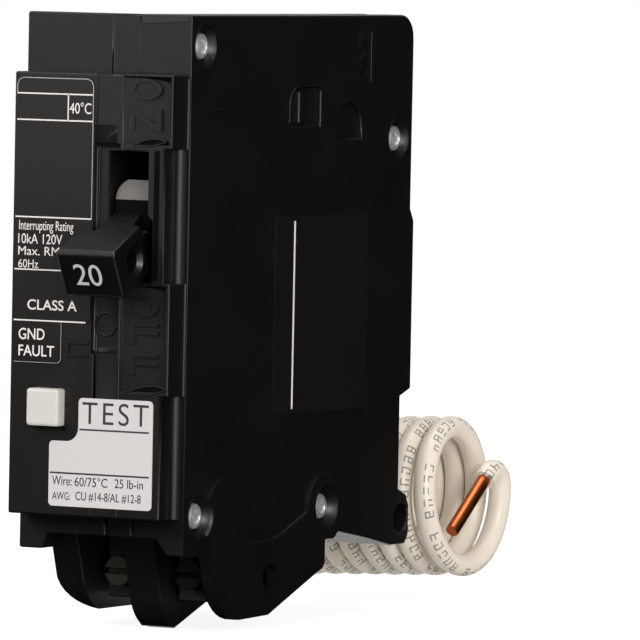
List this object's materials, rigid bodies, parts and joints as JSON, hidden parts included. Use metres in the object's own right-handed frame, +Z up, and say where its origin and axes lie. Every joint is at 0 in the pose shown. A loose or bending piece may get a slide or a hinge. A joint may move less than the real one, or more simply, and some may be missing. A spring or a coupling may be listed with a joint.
{
  "type": "gfci breaker",
  "caption": "Plug-in ground-fault circuit breaker: black moulded case with a toggle handle, square test button, wire lugs between its legs and a coiled white neutral pigtail.",
  "frame": {"origin": "middle of the flat rear seat, in the mid plane of the one-inch width", "axes": "+X to the side with the plain side label, +Y from the front to the panel, +Z up along the case"},
  "size_m": [0.0284, 0.0997, 0.0817],
  "materials": {
    "case_black": "fine-grained moulded thermoset",
    "handle_black": "smooth moulded",
    "shield_grey": "plain moulded",
    "label_black": "printed film",
    "label_white": "printed film",
    "button_white": "smooth moulded",
    "zinc_steel": "bright zinc plate",
    "soft_iron": "dull plate",
    "spring_steel": "bright drawn wire",
    "tinned_lug": "tin plate",
    "copper": "bare copper",
    "contact_silver": "dull silver alloy",
    "pad_brass": "plain brass",
    "bimetal_strip": "rolled strip",
    "fibre": "pressed fibre",
    "board_green": "solder mask",
    "dark_component": "moulded epoxy",
    "can_blue": "printed sleeve",
    "coated_disc": "dipped coating",
    "resistor_tan": "lacquer",
    "switch_tan": "plain moulded",
    "lever_ivory": "plain moulded",
    "lead_black": "wire insulation",
    "lead_white": "wire insulation, ivory white"
  },
  "bodies": {
    "case": {"left_case": "case_black", "middle_case": "case_black", "right_cover": "case_black", "case_rivets": "zinc_steel", "rating_label": "label_black", "test_label": "label_white", "side_label": "label_black", "handle_pin": "zinc_steel", "arm_pin": "zinc_steel", "cradle_pin": "zinc_steel", "main_spring": "spring_steel", "fixed_contact": "contact_silver", "line_jaw": "copper", "jaw_spring": "zinc_steel", "arc_chute": "fibre", "arc_plates": "soft_iron", "bimetal": "bimetal_strip", "magnet_yoke": "soft_iron", "armature_pin": "zinc_steel", "flexible_braid": "copper", "load_strap": "copper", "hot_lead": "lead_black", "circuit_board": "board_green", "controller_chip": "dark_component", "capacitors": "can_blue", "thyristor": "dark_component", "varistor": "coated_disc", "resistors": "resistor_tan", "toroid_bracket": "dark_component", "sense_toroid": "copper", "neutral_toroid": "copper", "solenoid_frame": "soft_iron", "solenoid_coil": "copper", "plunger_spring": "spring_steel", "trip_pin": "zinc_steel", "test_spring": "spring_steel", "test_switch": "switch_tan", "hot_lug": "tinned_lug", "neutral_lug": "tinned_lug", "neutral_strap": "copper", "neutral_lead": "lead_white", "pigtail_bushing": "dark_component", "pigtail_lead": "lead_white", "pigtail_coil": "lead_white", "conductor_tip": "copper"},
    "toggle": {"handle": "handle_black", "arc_shield": "shield_grey"},
    "contact": {"contact_arm": "copper", "moving_contact": "contact_silver"},
    "cradle_lever": {"cradle": "soft_iron"},
    "latch": {"armature": "soft_iron"},
    "plunger": {"solenoid_plunger": "soft_iron"},
    "trip_lever": {"trip_bar": "lever_ivory"},
    "button": {"test_button": "button_white"},
    "hot_clamp": {"hot_pad": "pad_brass"},
    "hot_driver": {"hot_screw": "zinc_steel"},
    "neutral_clamp": {"neutral_pad": "pad_brass"},
    "neutral_driver": {"neutral_screw": "zinc_steel"}
  },
  "joints": [
    {"name": "handle_toggle", "type": "hinge", "parent": "case", "child": "toggle", "pos_m": [0.0046, -0.0562, 0.0135], "axis": [-1, 0, 0], "range_deg": [0, 48]},
    {"name": "arm_swing", "type": "hinge", "parent": "case", "child": "contact", "pos_m": [0.0083, -0.044, 0.004], "axis": [1, 0, 0], "range_deg": [0, 14.01], "deforming": ["main_spring", "flexible_braid"]},
    {"name": "cradle_swing", "type": "hinge", "parent": "case", "child": "cradle_lever", "pos_m": [0.004, -0.014, 0.008], "axis": [1, 0, 0], "range_deg": [0, 18], "deforming": ["main_spring"]},
    {"name": "plunger_stroke", "type": "slide", "parent": "case", "child": "plunger", "axis": [0, -1, 0], "range_m": [0, 0.001], "stiffness_N_per_m": 400, "deforming": ["plunger_spring"]},
    {"name": "trip_tilt", "type": "hinge", "parent": "case", "child": "trip_lever", "pos_m": [-0.0032, -0.028, -0.004], "axis": [-1, 0, 0], "range_deg": [0, 8.2]},
    {"name": "armature_tilt", "type": "hinge", "parent": "case", "child": "latch", "pos_m": [0.006, -0.0305, -0.004], "axis": [-1, 0, 0], "range_deg": [0, 8.2]},
    {"name": "test_press", "type": "slide", "parent": "case", "child": "button", "axis": [0, 1, 0], "range_m": [0, 0.0015], "stiffness_N_per_m": 300, "deforming": ["test_spring"]},
    {"name": "hot_clamp_slide", "type": "slide", "parent": "case", "child": "hot_clamp", "axis": [0, 1, 0], "range_m": [0, 0.0024]},
    {"name": "hot_screw_turn", "type": "hinge", "parent": "hot_clamp", "child": "hot_driver", "pos_m": [0.00775, -0.05, -0.0345], "axis": [0, 1, 0], "range_deg": [0, 1080]},
    {"name": "neutral_clamp_slide", "type": "slide", "parent": "case", "child": "neutral_clamp", "axis": [0, 1, 0], "range_m": [0, 0.0024]},
    {"name": "neutral_screw_turn", "type": "hinge", "parent": "neutral_clamp", "child": "neutral_driver", "pos_m": [-0.003, -0.05, -0.0345], "axis": [0, 1, 0], "range_deg": [0, 1080]}
  ],
  "couplings": [
    {"joint": "arm_swing", "follows": "handle_toggle", "ratio": 0.29167},
    {"joint": "trip_tilt", "follows": "plunger_stroke", "rad_per_m": 142.86},
    {"joint": "armature_tilt", "follows": "plunger_stroke", "rad_per_m": 142.86},
    {"joint": "hot_screw_turn", "follows": "hot_clamp_slide", "rad_per_m": 7853.9},
    {"joint": "neutral_screw_turn", "follows": "neutral_clamp_slide", "rad_per_m": 7853.9}
  ]
}
